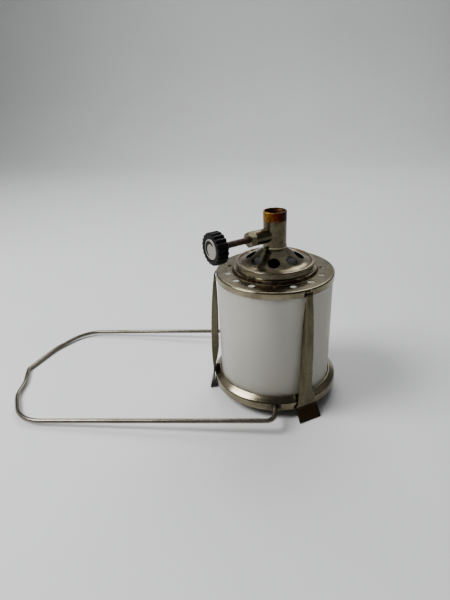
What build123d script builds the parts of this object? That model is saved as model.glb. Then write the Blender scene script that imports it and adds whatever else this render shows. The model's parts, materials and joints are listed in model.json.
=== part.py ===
from build123d import *
import os
from math import asin, atan2, cos, degrees, radians, sin, sqrt, tan

# Head of a camping gas lantern: a pierced base plate with a needle valve, a frosted glass globe and a
# hood with a hanging bail, held together by three sprung clips. It stands upside down on the ends of
# the clips, with its inlet up. Millimetres, +Z up, origin on the ground under the lamp's axis, and the
# bail laid down towards -X. Heights are worked out from the ground upwards.

# --- pressed sheet parts ---
SHEET = 0.6                 # metal of the hood, base plate, cone and shield
STAND_HEIGHT = 8.5          # ground to the hood's rim
HOOD_RADIUS = 53.3
HOOD_BAND = 6.2             # height of the hood's upright band
HOOD_SLOPE = 5.0            # rise of its sloping shoulder up to the glass
SEAT_DEPTH = 3.6            # how deep the glass sits in the hood
HOOD_LEDGE = 9.5            # glass's outside to the hot-air opening
SHIELD_OVERLAP = 8.0        # of the shield past the opening's edge
SHIELD_DROP = 5.9           # hood ledge to the shield's rim
SHIELD_DISH = 1.6           # depth of the shield's dish
SPACER_RADIUS = 2.4
SPACER_INSET = 6.0          # glass's outside to the spacers' circle
SPACER_ANGLES = (0, 120, 240)
SHIELD_RIVET_RADIUS = 1.2
SHIELD_RIVET_HEAD = 2.2
RIVET_PLAY = 0.1            # round each rivet of the shield

# --- glass ---
GLASS_RADIUS = 47.0
GLASS_WALL = 2.5
GLASS_LENGTH = 91.1
GLASS_PLAY = 0.3            # round the glass, in the hood's lip
GLASS_END_GAP = 0.2         # between the glass and the locators that it bears on

# --- base plate and cone ---
PLATE_RADIUS = 48.0
PLATE_BAND = 5.5
HOOK_ROOM = 2.7             # glass end to the plate, where the clips hook in
BOSS_RADIUS = 33.9
BOSS_STEP = 3.0
CROWN_RADIUS = 30.6
CROWN_STEP = 3.5
VENT_CIRCLE = 38.6
VENT_COUNT = 15             # places round the plate; every fifth one is left for a rivet
VENT_RADIUS = 2.75
VENT_START = -91.5
RIVET_CIRCLE = 36.9
RIVET_COUNT = 3
RIVET_START = -88.0
RIVET_RADIUS = 1.3
RIVET_HEAD = 1.9
LOCATOR_SHEET = 0.8
LOCATOR_WIDTH = 7.0
LOCATOR_TONGUE = 7.0        # how far each locator reaches down into the glass
CONE_LIP = 31.8
CONE_BEAD = 1.8             # height of the cone's rolled edge over the crown
CONE_NECK = 9.6             # outer radius of the collar at the cone's top
CONE_HEIGHT = 14.2          # crown to the top of the collar
COLLAR_HEIGHT = 2.2
AIR_HOLE_START = -91.0
AIR_HOLE_CIRCLE = 19.4
AIR_HOLE_RADIUS = 4.8
AIR_HOLE_COUNT = 8
SCREW_ANGLE = 229.0         # cone screw, under the side boss
SCREW_DROP = 1.2            # cone screw below the collar's rim
SCREW_RADIUS = 0.9
SCREW_HEAD = 1.7
SCREW_SHOULDER = 1.2
SCREW_BITE = 3.2            # collar's outside to the screw's end

# --- valve block ---
TUBE_RADIUS = 9.2
TUBE_HEIGHT = 27.3          # cone neck to the rim of the inlet
BLOCK_INSET = 3.7           # how far the block reaches down inside the collar
COLLAR_PLAY = 0.05          # round the block, inside the collar
INLET_BORE = 8.33           # 3/8 inch pipe thread, cut to its full diameter
INLET_DEPTH = 10.5
SEAL_THICKNESS = 1.4
FILTER_THICKNESS = 1.2
VALVE_ANGLE = 219.5         # direction of the valve spindle
VALVE_HEIGHT = 8.9          # spindle over the cone's neck
SIDE_BOSS_RADIUS = 5.8
SIDE_BOSS_REACH = 21.0      # all reaches along the spindle are from the lamp's axis
SPIGOT_RADIUS = 5.0
SPIGOT_LENGTH = 3.5
GAS_WAY = 1.2               # radius of the bore from the spigot up to the valve
JET_SOCKET = 2.5
JET_SOCKET_DEPTH = 5.5
SEAT_REACH = 4.0            # face of the valve seat
SEAT_RADIUS = 0.8
CHAMBER_RADIUS = 2.7
CHAMBER_END = 9.0
PORT_REACH = 6.0            # bore from the chamber up to the filter
PORT_RADIUS = 0.9
THREAD_HEIGHT = 0.3         # of the spindle's thread over its stem, pitch 0.8
THREAD_END = 17.0
THREAD_PLAY = 0.3           # chamber's end to the spindle's thread when the valve is shut
VALVE_TRAVEL = 1.2
STEM_RADIUS = 2.45
STEM_TIP = 1.2
DISC_RADIUS = 2.2
RUNNING_GAP = 0.05
GLAND_FLATS = 11.0
GLAND_LENGTH = 5.0
GLAND_SPIGOT = 3.5
PACKING_LENGTH = 2.0

# --- knob ---
KNOB_RADIUS = 12.5
KNOB_REACH = 50.4
KNOB_WIDTH = 9.2
KNOB_GRIP = 4.5             # length of the stem inside the knob
KNOB_HUB = 2.4              # length of the hub behind the knob
KNOB_FLUTES = 30
FLUTE_RADIUS = 0.9
INSERT_RADIUS = 7.7
INSERT_DEPTH = 1.2
KNOB_SCREW_RADIUS = 1.2
KNOB_SCREW_HEAD = 2.3
KNOB_SCREW_SINK = 0.9       # depth of its pocket under the insert

# --- burner ---
PIPE_RADIUS = 7.0
PIPE_BORE = 5.05
PIPE_LENGTH = 57.0          # below the crown
PIPE_FLANGE = 9.5
PIPE_FLANGE_THICKNESS = 1.0
WASHER_RADIUS = 11.0
WASHER_THICKNESS = 1.0
LOCK_NUT_FLATS = 20.0
LOCK_NUT_HEIGHT = 5.0
NOZZLE_RADIUS = 8.2
NOZZLE_LENGTH = 14.0
NOZZLE_DROP = 10.0          # pipe's end to the nozzle's face
TIE_HEIGHT = 6.0            # groove for the mantle over the nozzle's face
TIE_RADIUS = 0.4
MANTLE_RADIUS = 14.0
MANTLE_LENGTH = 36.0
MANTLE_CLOTH = 0.5

# --- clips ---
CLIP_SHEET = 0.7
CLIP_GAP = 0.1              # clip to the hood's band
CLIP_WIDTH = 16.0           # of the flat strip at the hood
WEB_WIDTH = 6.2             # between the folds, higher up
FOLD_DEPTH = 5.6            # of the folded flanges, at their deepest
CREASE_LIFT = 2.2           # hood's shoulder to where the strip starts to fold
KNEE_LIFT = 2.4             # hood's rim to where the tab splays out
TAB_WIDTH = 20.0
HOOK_WIDTH = 5.4
HOOK_DEPTH = 2.2            # how far the hook reaches in under the plate, past the glass's outside
PIVOT_RADIUS = 0.6          # round bead that each clip swings on, in its slot
SLOT_WIDTH = 6.6
SLOT_HEIGHT = 2.2
CLIPS = {                   # place round the lamp, sideways lean, splay of the tab from the vertical
    "clip_front": (-57.6, -1.35, 33.0),
    "clip_back": (61.5, 0.4, 30.0),
    "clip_left": (182.5, 1.5, 18.0),
}

# --- bail ---
WIRE_RADIUS = 1.9
BAIL_PIVOT_X = 2.0
BAIL_PIVOT_LIFT = 4.0       # wire over the hood's rim
BAIL_HALF_WIDTH = 69.5      # at the pivot
BAIL_REACH = 243.0          # pivot to the hanging point
BAIL_END_IN = 8.5           # wire end inside the hood's band
BAIL_SLIP = 0.7             # the bail has slipped this far towards -Y in its slots
BAIL_SLOT = 7.6
BAIL_SLOT_X = 2.8           # middle of the slot
BAIL_SLOT_PLAY = 0.4        # over and under the wire, together

# --- sizes that follow from others ---
thread_radius = STEM_RADIUS + THREAD_HEIGHT
opening_radius = GLASS_RADIUS - HOOD_LEDGE
shield_radius = opening_radius + SHIELD_OVERLAP
spacer_circle = GLASS_RADIUS - SPACER_INSET

# --- heights from the ground ---
rim_z = STAND_HEIGHT
shoulder_z = rim_z + HOOD_BAND
lip_z = shoulder_z + HOOD_SLOPE
seat_z = lip_z - SEAT_DEPTH                     # upper face of the ledge under the glass
ledge_under_z = seat_z - SHEET
shield_z = ledge_under_z - SHIELD_DROP          # upper face of the shield's rim
glass_top_z = seat_z + GLASS_LENGTH
plate_under_z = glass_top_z + HOOK_ROOM
plate_z = plate_under_z + SHEET                 # upper face of the base plate's flat
boss_z = plate_z + BOSS_STEP
crown_z = boss_z + CROWN_STEP
crown_under_z = crown_z - SHEET
neck_z = crown_z + CONE_HEIGHT
screw_z = neck_z - SCREW_DROP
tube_top_z = neck_z + TUBE_HEIGHT
valve_z = neck_z + VALVE_HEIGHT
block_z = neck_z - BLOCK_INSET                  # underside of the block, inside the collar
spigot_z = block_z - SPIGOT_LENGTH
bore_z = tube_top_z - INLET_DEPTH
seal_z = bore_z - SEAL_THICKNESS
filter_z = seal_z - FILTER_THICKNESS
pivot_z = rim_z + BAIL_PIVOT_LIFT
hook_z = glass_top_z + HOOK_ROOM / 2 - 0.1      # middle of the clips' hooks
washer_z = crown_under_z - WASHER_THICKNESS
pipe_end_z = crown_z - PIPE_LENGTH
nozzle_z = pipe_end_z - NOZZLE_DROP
tie_z = nozzle_z + TIE_HEIGHT
lip_bore = GLASS_RADIUS + GLASS_PLAY
bracket_z = plate_under_z - LOCATOR_SHEET       # underside of the locators, on the rivets' heads
insert_seat = KNOB_REACH + KNOB_WIDTH - INSERT_DEPTH
screw_seat = insert_seat - KNOB_SCREW_SINK


def turned(*outline):
    """Solid of revolution about Z from a closed outline of (radius, height) points."""
    return revolve(make_face(Polyline(*[(r, 0, z) for r, z in outline], close=True)), Axis.Z)


def ring(outer, inner, low, high):
    """Plain ring or sleeve about Z."""
    return turned((inner, low), (outer, low), (outer, high), (inner, high))


def disc(radius, low, high):
    """Round bar about Z between two heights."""
    return Pos(0, 0, low) * Cylinder(radius, high - low, align=(Align.CENTER, Align.CENTER, Align.MIN))


def pressed(points, radii, sheet=SHEET):
    """Sheet metal turned about Z: its visible face follows the points, with the metal on their left."""
    visible = Wire(FilletPolyline(*points, radius=radii).edges())
    return revolve(Plane.XZ * make_face(visible.offset_2d(sheet, side=Side.LEFT)), Axis.Z)


def hexagon(across_flats, low, high):
    """Hexagonal bar about Z."""
    bar = extrude(RegularPolygon(across_flats / sqrt(3), 6), high - low)
    return Pos(0, 0, low) * bar


def around(angle):
    """Frame at the lamp's axis whose X points outwards at the angle."""
    return Rot(0, 0, angle)


def on_valve(shape):
    """Lay a shape that is drawn about Z along the valve spindle, outwards."""
    return Pos(0, 0, valve_z) * Rot(0, 0, VALVE_ANGLE) * Rot(0, 90, 0) * shape


def side_profile(points, width):
    """Flat piece of the given width from a closed (reach, height) outline, standing on the X axis."""
    outline = make_face(Polyline(*[(x, 0, z) for x, z in points], close=True))
    return extrude(outline, width / 2, dir=(0, 1, 0), both=True)


# --- hood ---
def make_hood():
    shell = pressed(
        [(HOOD_RADIUS, rim_z), (HOOD_RADIUS, shoulder_z), (lip_bore, lip_z), (lip_bore, seat_z),
         (opening_radius, seat_z)],
        [2.2, 0.9, 0.3])
    slot_height = 2 * WIRE_RADIUS + BAIL_SLOT_PLAY
    slot = Pos(BAIL_SLOT_X, 0, pivot_z) * Box(BAIL_SLOT, 4 * HOOD_RADIUS, slot_height)
    keep = disc(HOOD_RADIUS - 2, 0, lip_z)
    return shell - (slot - keep) - shield_rivet_holes(seat_z)


def shield_rivet_holes(height):
    """Drills for the shield's rivets, at the height of the sheet they go through."""
    drill = Cylinder(SHIELD_RIVET_RADIUS + RIVET_PLAY, 4)
    return [around(a) * Pos(spacer_circle, 0, height) * drill for a in SPACER_ANGLES]


def make_shield():
    low = shield_z - SHIELD_DISH
    rim = spacer_circle - 5
    flat = pressed([(shield_radius, shield_z), (rim, shield_z), (rim - 4, low), (0, low)], [1.5, 1.5])
    return flat - shield_rivet_holes(shield_z)


def make_spacers():
    sleeve = ring(SPACER_RADIUS, SHIELD_RIVET_RADIUS + RIVET_PLAY, shield_z, ledge_under_z)
    return [around(a) * Pos(spacer_circle, 0, 0) * sleeve for a in SPACER_ANGLES]


def make_shield_rivets():
    low = shield_z - SHEET
    head = SHIELD_RIVET_HEAD
    shank = SHIELD_RIVET_RADIUS
    rivet = turned((0, low - 0.9), (head - 0.2, low - 0.7), (head, low), (shank, low), (shank, seat_z),
                   (head, seat_z), (head - 0.2, seat_z + 0.7), (0, seat_z + 0.9))
    return [around(a) * Pos(spacer_circle, 0, 0) * rivet for a in SPACER_ANGLES]


# --- base plate, cone and what is riveted to them ---
def vent_angles():
    """Places of the vents, which leave room for a rivet after every fourth one."""
    spacing = VENT_COUNT // RIVET_COUNT
    return [VENT_START + k * 360 / VENT_COUNT for k in range(VENT_COUNT) if k % spacing]


def rivet_angles():
    return [RIVET_START + k * 360 / RIVET_COUNT for k in range(RIVET_COUNT)]


def rivet_hole(height):
    """Drill for a rivet of the plate, on the X axis."""
    return Pos(RIVET_CIRCLE, 0, height) * Cylinder(RIVET_RADIUS + 0.02, 6)


def make_base_plate():
    shell = pressed(
        [(PLATE_RADIUS, plate_z - PLATE_BAND), (PLATE_RADIUS, plate_z), (BOSS_RADIUS + 0.7, plate_z),
         (BOSS_RADIUS, boss_z), (CROWN_RADIUS + 0.5, boss_z), (CROWN_RADIUS, crown_z),
         (PIPE_RADIUS + 0.1, crown_z)],
        [1.4, 0.8, 1.1, 0.7, 1.0])
    drill = [around(a) * Pos(VENT_CIRCLE, 0, plate_z) * Cylinder(VENT_RADIUS, 6) for a in vent_angles()]
    drill += [around(a) * rivet_hole(plate_z) for a in rivet_angles()]
    slot = Pos(PLATE_RADIUS, 0, hook_z) * Box(4, SLOT_WIDTH, SLOT_HEIGHT)
    drill += [around(place) * slot for place, lean, splay in CLIPS.values()]
    return shell - drill


def make_locators():
    """Three brackets under the plate that the end of the glass bears on and is centred by."""
    t = LOCATOR_SHEET
    rest = glass_top_z + GLASS_END_GAP
    tongue = GLASS_RADIUS - GLASS_WALL - 0.4
    foot = rest - LOCATOR_TONGUE
    edge = GLASS_RADIUS - 0.2
    inner = RIVET_CIRCLE - 1.8
    bend = tongue - 2.7
    bracket = side_profile(
        [(inner, plate_under_z), (inner, bracket_z), (bend, bracket_z), (tongue - t, rest),
         (tongue - t, foot), (tongue, foot), (tongue, rest), (edge, rest), (edge, rest + t),
         (tongue - t / 2, rest + t), (bend + t / 2, plate_under_z)], LOCATOR_WIDTH)
    return [around(a) * (bracket - rivet_hole(plate_under_z)) for a in rivet_angles()]


def make_plate_rivets():
    rivet = turned((0, bracket_z - 0.8), (RIVET_HEAD - 0.3, bracket_z - 0.6), (RIVET_HEAD, bracket_z),
                   (RIVET_RADIUS, bracket_z), (RIVET_RADIUS, plate_z), (RIVET_HEAD, plate_z),
                   (RIVET_HEAD - 0.2, plate_z + 0.5), (RIVET_HEAD - 0.8, plate_z + 0.9), (0, plate_z + 1.1))
    return [around(a) * Pos(RIVET_CIRCLE, 0, 0) * rivet for a in rivet_angles()]


def make_cone():
    bead_z = crown_z + CONE_BEAD
    collar_z = neck_z - COLLAR_HEIGHT
    shell = pressed(
        [(CONE_LIP, crown_z - 0.5), (CONE_LIP, bead_z), (CONE_LIP - 2.4, bead_z),
         (CONE_LIP - 3.3, crown_z + SHEET), (CONE_LIP - 7.4, crown_z + 2.3),
         (CONE_NECK + 5.2, collar_z - 3.9), (CONE_NECK, collar_z), (CONE_NECK, neck_z)],
        [1.2, 0.8, 1.0, 12, 16, 2.5])
    tilt = 33.0
    hole = Pos(AIR_HOLE_CIRCLE, 0, crown_z + 5.6) * Rot(0, tilt, 0) * Cylinder(AIR_HOLE_RADIUS, 8)
    angles = [AIR_HOLE_START + k * 360 / AIR_HOLE_COUNT for k in range(AIR_HOLE_COUNT)]
    return shell - [around(a) * hole for a in angles] - screw_hole(SCREW_RADIUS + 0.1)


def screw_hole(radius):
    """Drill for the cone screw, through the collar and into the block."""
    drill = disc(radius, CONE_NECK - SCREW_BITE, CONE_NECK + 2)
    return around(SCREW_ANGLE) * Pos(0, 0, screw_z) * Rot(0, 90, 0) * drill


def make_cone_screw():
    """Slotted screw whose shoulder pins the cone's neck to the block."""
    seat = CONE_NECK + SCREW_SHOULDER
    head = turned((0, seat), (SCREW_HEAD, seat), (SCREW_HEAD, seat + 0.8), (SCREW_HEAD - 0.5, seat + 1.4),
                  (0, seat + 1.7))
    slot = Pos(0, 0, seat + 1.7) * Box(0.5, 5, 1.2)
    shank = disc(SCREW_RADIUS, CONE_NECK - SCREW_BITE, seat)
    return around(SCREW_ANGLE) * Pos(0, 0, screw_z) * Rot(0, 90, 0) * (head - slot + shank)


# --- valve ---
def make_valve_block():
    tube = disc(TUBE_RADIUS, neck_z, tube_top_z)
    tube = chamfer(tube.edges().group_by(Axis.Z)[-1], 0.3)
    tube += disc(CONE_NECK - SHEET - COLLAR_PLAY, block_z, neck_z) + disc(SPIGOT_RADIUS, spigot_z, block_z)
    boss = on_valve(disc(SIDE_BOSS_RADIUS, 0, SIDE_BOSS_REACH))
    boss = fillet(boss.edges().filter_by(GeomType.CIRCLE).sort_by(Axis.X)[0], 0.5)
    body = tube + boss
    body -= disc(INLET_BORE, bore_z, tube_top_z + 1)
    body -= disc(INLET_BORE - 0.9, seal_z, bore_z)
    body -= disc(INLET_BORE - 1.4, filter_z, seal_z)
    body -= on_valve(ring(CHAMBER_RADIUS, 2 * SEAT_RADIUS, SEAT_REACH - 0.8, SEAT_REACH))
    body -= on_valve(disc(CHAMBER_RADIUS, SEAT_REACH, CHAMBER_END))
    body -= on_valve(disc(thread_radius + RUNNING_GAP, CHAMBER_END, THREAD_END))
    body -= on_valve(disc(GLAND_SPIGOT + 0.1, THREAD_END, SIDE_BOSS_REACH + 1))
    body -= on_valve(disc(SEAT_RADIUS, 0, SEAT_REACH))
    body -= around(VALVE_ANGLE) * Pos(PORT_REACH, 0, 0) * disc(PORT_RADIUS, valve_z, filter_z)
    body -= disc(GAS_WAY, spigot_z, valve_z)
    body -= disc(JET_SOCKET, spigot_z, spigot_z + JET_SOCKET_DEPTH)
    return body - screw_hole(SCREW_RADIUS + 0.05)


def make_gas_jet():
    low = spigot_z - 2.0
    body = hexagon(5.6, low, spigot_z)
    body += turned((0, low - 0.6), (1.0, low - 0.6), (1.7, low), (0, low))
    body += disc(JET_SOCKET - 0.05, spigot_z, spigot_z + JET_SOCKET_DEPTH - 1)
    return body - disc(0.3, low - 1, spigot_z) - disc(GAS_WAY, spigot_z - 1, spigot_z + JET_SOCKET_DEPTH)


def make_gland_nut():
    seat = SIDE_BOSS_REACH
    edge = seat + GLAND_LENGTH
    corner = GLAND_FLATS / sqrt(3)
    nut = hexagon(GLAND_FLATS, seat, edge)
    nut &= turned((0, seat), (corner, seat), (corner, edge - 0.7), (corner - 1.0, edge), (0, edge))
    nut += disc(GLAND_SPIGOT, THREAD_END + PACKING_LENGTH, seat)
    return on_valve(nut - disc(STEM_RADIUS + RUNNING_GAP, THREAD_END, edge))


def make_spindle():
    thread_start = CHAMBER_END + THREAD_PLAY
    thread_stop = THREAD_END - THREAD_PLAY - VALVE_TRAVEL
    tip = disc(STEM_TIP, SEAT_REACH + 1.6, thread_start)
    thread = chamfer(disc(thread_radius, thread_start, thread_stop).edges(), 0.3)
    stem = disc(STEM_RADIUS, thread_stop, KNOB_REACH + KNOB_GRIP - 0.1)
    tapped = disc(KNOB_SCREW_RADIUS + 0.05, KNOB_REACH - 2, KNOB_REACH + KNOB_GRIP)
    return on_valve(tip + thread + stem - tapped)


def make_valve_disc():
    """Rubber-faced disc that the spindle's tip presses on the seat."""
    back = SEAT_REACH + 2.6
    body = disc(DISC_RADIUS, SEAT_REACH + RUNNING_GAP, back)
    return on_valve(body - disc(STEM_TIP + 0.05, SEAT_REACH + 1.55, back))


def make_knob():
    front = KNOB_REACH + KNOB_WIDTH
    back = KNOB_REACH - KNOB_HUB
    bore = STEM_RADIUS + 0.03
    pocket = INSERT_RADIUS + 0.1
    grip = KNOB_REACH + KNOB_GRIP
    body = turned(
        (bore, back), (4.6, back), (5.2, KNOB_REACH), (KNOB_RADIUS - 0.8, KNOB_REACH),
        (KNOB_RADIUS, KNOB_REACH + 0.8), (KNOB_RADIUS, front - 1.0), (KNOB_RADIUS - 1.0, front),
        (pocket + 0.9, front), (pocket, front - 0.6), (pocket, insert_seat),
        (KNOB_SCREW_HEAD + 0.2, insert_seat), (KNOB_SCREW_HEAD + 0.2, screw_seat),
        (KNOB_SCREW_RADIUS + 0.1, screw_seat), (KNOB_SCREW_RADIUS + 0.1, grip), (bore, grip))
    flute = Pos(KNOB_RADIUS + 0.35, 0, 0) * disc(FLUTE_RADIUS, KNOB_REACH - 1, front + 1)
    return on_valve(body - [around(k * 360 / KNOB_FLUTES) * flute for k in range(KNOB_FLUTES)])


def make_knob_insert():
    rim = insert_seat + 0.7
    return on_valve(turned((0, insert_seat), (INSERT_RADIUS, insert_seat), (INSERT_RADIUS, rim),
                           (INSERT_RADIUS - 0.4, rim + 0.3), (0, rim + 0.45)))


def make_knob_screw():
    top = screw_seat + 0.8
    screw = disc(KNOB_SCREW_HEAD, screw_seat, top) + disc(KNOB_SCREW_RADIUS, KNOB_REACH - 1.5, screw_seat)
    return on_valve(screw - Pos(0, 0, top) * Box(0.6, 5, 0.8))


# --- burner ---
def make_burner_pipe():
    flange_z = crown_z + PIPE_FLANGE_THICKNESS
    top = block_z - 0.2
    pipe = turned((PIPE_BORE, pipe_end_z), (PIPE_RADIUS, pipe_end_z), (PIPE_RADIUS, crown_z),
                  (PIPE_FLANGE, crown_z), (PIPE_FLANGE, flange_z), (PIPE_RADIUS, flange_z),
                  (PIPE_RADIUS, top), (PIPE_BORE, top))
    port = Pos(0, 0, crown_z + 2.8) * Rot(0, 90, 0) * Cylinder(1.4, 4 * PIPE_RADIUS)
    return pipe - port - Rot(0, 0, 90) * port


def make_nozzle():
    """Cap over the pipe's end with a groove for the mantle and a pierced face."""
    neck = NOZZLE_RADIUS - 0.6
    inner = PIPE_RADIUS + 0.05
    cap = turned((0, nozzle_z), (NOZZLE_RADIUS, nozzle_z), (NOZZLE_RADIUS, tie_z - 1.2), (neck, tie_z - 0.6),
                 (neck, tie_z + 0.6), (NOZZLE_RADIUS, tie_z + 1.2), (NOZZLE_RADIUS, nozzle_z + NOZZLE_LENGTH),
                 (inner, nozzle_z + NOZZLE_LENGTH), (inner, pipe_end_z), (PIPE_BORE, pipe_end_z),
                 (PIPE_BORE, nozzle_z + 1.2), (0, nozzle_z + 1.2))
    holes = [Cylinder(1.0, 6)] + [around(60 * k) * Pos(3.2, 0, 0) * Cylinder(1.0, 6) for k in range(6)]
    return cap - [Pos(0, 0, nozzle_z) * hole for hole in holes]


def make_mantle():
    """Cloth sock tied round the nozzle, hanging below it."""
    top = tie_z + 2.6
    neck = NOZZLE_RADIUS + 0.1 + MANTLE_CLOTH
    tip = top - MANTLE_LENGTH
    return pressed(
        [(0, tip), (MANTLE_RADIUS - 5, tip), (MANTLE_RADIUS, nozzle_z - 10), (neck, nozzle_z - 1),
         (neck, top)], [8, 8, 3], MANTLE_CLOTH)


def make_mantle_tie():
    around_neck = NOZZLE_RADIUS + 0.1 + MANTLE_CLOTH
    return Pos(0, 0, tie_z) * Torus(around_neck + TIE_RADIUS, TIE_RADIUS)


# --- clips ---
def channel(z, apex, web, half, depth):
    """Level slice of a clip's strip: a web facing outwards, with a flange folded in at each side."""
    t = CLIP_SHEET
    turn = atan2(depth, half - web)
    outer = [(apex - depth, -half), (apex, -web), (apex, web), (apex - depth, half)]
    inner = [(apex - depth - t * cos(turn), half - t * sin(turn)), (apex - t, web - t * tan(turn / 2))]
    inner += [(x, -y) for x, y in reversed(inner)]
    return make_face(Polyline(*[(x, y, z) for x, y in outer + inner], close=True))


def make_clip(place, lean, splay):
    flat_inner = HOOD_RADIUS + CLIP_GAP
    flat_outer = flat_inner + CLIP_SHEET
    crease_z = shoulder_z + CREASE_LIFT
    knee_z = rim_z + KNEE_LIFT
    half = CLIP_WIDTH / 2
    hook_start = hook_z - 6
    strip = loft([
        channel(crease_z, flat_outer + 0.1, half * 0.7, half, 0.1),
        channel(crease_z + 5, flat_outer + 0.9, half * 0.6, half * 0.9, FOLD_DEPTH * 0.4),
        channel(crease_z + 17, flat_outer + 1.5, WEB_WIDTH / 2, WEB_WIDTH / 2 + 1.2, FOLD_DEPTH),
        channel((crease_z + hook_z) / 2 + 8, HOOD_RADIUS + 0.6, WEB_WIDTH / 2, WEB_WIDTH / 2 + 1,
                FOLD_DEPTH - 0.4),
        channel(hook_z - 13, PLATE_RADIUS + 3.6, HOOK_WIDTH / 2, HOOK_WIDTH / 2 + 0.6, FOLD_DEPTH / 2),
        channel(hook_start, PLATE_RADIUS + 2.3, HOOK_WIDTH / 2 - 0.3, HOOK_WIDTH / 2, 1.2)], ruled=True)
    flat = side_profile([(flat_inner, crease_z + 0.3), (flat_inner, knee_z),
                         (flat_outer, knee_z), (flat_outer, crease_z + 0.3)], CLIP_WIDTH)
    out = sin(radians(splay))
    down = cos(radians(splay))
    length = (knee_z + 3) / down
    tab = side_profile(
        [(flat_inner, knee_z), (flat_inner + length * out, knee_z - length * down),
         (flat_inner + length * out + CLIP_SHEET * down, knee_z - length * down + CLIP_SHEET * out),
         (flat_outer, knee_z + 0.2)], TAB_WIDTH)
    shoulder = side_profile([(flat_inner, knee_z - 0.1), (flat_outer, knee_z - 0.1),
                             (flat_outer, knee_z + 2), (flat_inner, knee_z + 2)],
                            (CLIP_WIDTH + TAB_WIDTH) / 2)
    bend = PLATE_RADIUS + 0.9
    tip = GLASS_RADIUS - HOOK_DEPTH
    t = CLIP_SHEET / 2
    hook = side_profile(
        [(PLATE_RADIUS + 2.3, hook_start - 0.1), (bend + 0.3, hook_z + t - 0.1), (bend - 0.3, hook_z + t),
         (tip, hook_z + t), (tip, hook_z - t), (bend - 0.9, hook_z - t),
         (PLATE_RADIUS + 1.3, hook_start - 0.1)], HOOK_WIDTH)
    bead = Pos(PLATE_RADIUS, 0, hook_z) * Rot(90, 0, 0) * Cylinder(PIVOT_RADIUS, HOOK_WIDTH)
    pivot = Pos(0, 0, hook_z)
    clip = pivot * Rot(lean, 0, 0) * pivot.inverse() * (strip + flat + shoulder + tab + hook) + bead
    ground = Pos(HOOD_RADIUS, 0, -10) * Box(80, 80, 20)
    return around(place) * (clip - ground)


# --- bail ---
def make_bail():
    """Round wire, drawn flat with its hanging point at -X, then tipped down to the ground."""
    edge = BAIL_HALF_WIDTH
    end = HOOD_RADIUS - BAIL_END_IN
    reach = BAIL_REACH
    route = [(0, -end), (0, -edge), (reach - 31, -edge - 4.1), (reach - 11, -40), (reach - 8.2, -20),
             (reach, 1.5), (reach - 10.5, 39), (reach - 31, edge + 4.1), (0, edge), (0, end)]
    line = FilletPolyline(*[(-x, y) for x, y in route], radius=[7, 34, 30, 16, 6, 30, 34, 7])
    wire = sweep(Plane(origin=line @ 0, z_dir=line % 0) * Circle(WIRE_RADIUS), path=line)
    drop = degrees(asin((pivot_z - WIRE_RADIUS) / reach))
    return Pos(BAIL_PIVOT_X, -BAIL_SLIP, pivot_z) * Rot(0, -drop, 0) * wire


nodes = {
    "hood": make_hood(),
    "heat_shield": make_shield(),
    "shield_spacers": make_spacers(),
    "shield_rivets": make_shield_rivets(),
    "glass_globe": ring(GLASS_RADIUS, GLASS_RADIUS - GLASS_WALL, seat_z, glass_top_z),
    "base_plate": make_base_plate(),
    "globe_locators": make_locators(),
    "plate_rivets": make_plate_rivets(),
    "cone_cover": make_cone(),
    "cone_screw": make_cone_screw(),
    "valve_block": make_valve_block(),
    "inlet_seal": ring(INLET_BORE - 0.95, 3.0, seal_z, bore_z),
    "inlet_filter": disc(INLET_BORE - 1.45, filter_z, seal_z),
    "gas_jet": make_gas_jet(),
    "gland_nut": make_gland_nut(),
    "gland_packing": on_valve(ring(GLAND_SPIGOT + 0.05, STEM_RADIUS + RUNNING_GAP, THREAD_END,
                                   THREAD_END + PACKING_LENGTH)),
    "spindle": make_spindle(),
    "valve_disc": make_valve_disc(),
    "knob": make_knob(),
    "knob_insert": make_knob_insert(),
    "knob_screw": make_knob_screw(),
    "burner_pipe": make_burner_pipe(),
    "pipe_washer": ring(WASHER_RADIUS, PIPE_RADIUS + 0.1, washer_z, crown_under_z),
    "lock_nut": hexagon(LOCK_NUT_FLATS, washer_z - LOCK_NUT_HEIGHT, washer_z)
    - disc(PIPE_RADIUS + 0.03, pipe_end_z, crown_z),
    "burner_nozzle": make_nozzle(),
    "mantle": make_mantle(),
    "mantle_tie": make_mantle_tie(),
    "bail": make_bail(),
}
for name, (place, lean, splay) in CLIPS.items():
    nodes[name] = make_clip(place, lean, splay)

os.makedirs("parts", exist_ok=True)
for name, shape in nodes.items():
    solids = shape if isinstance(shape, list) else shape.solids()
    export_step(Compound(children=[s for part in solids for s in part.solids()]), f"parts/{name}.step")
    print(name, "solids", len(solids))
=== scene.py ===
import json
import math
import random

import bmesh
import bpy
from mathutils import Matrix, Vector


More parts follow.
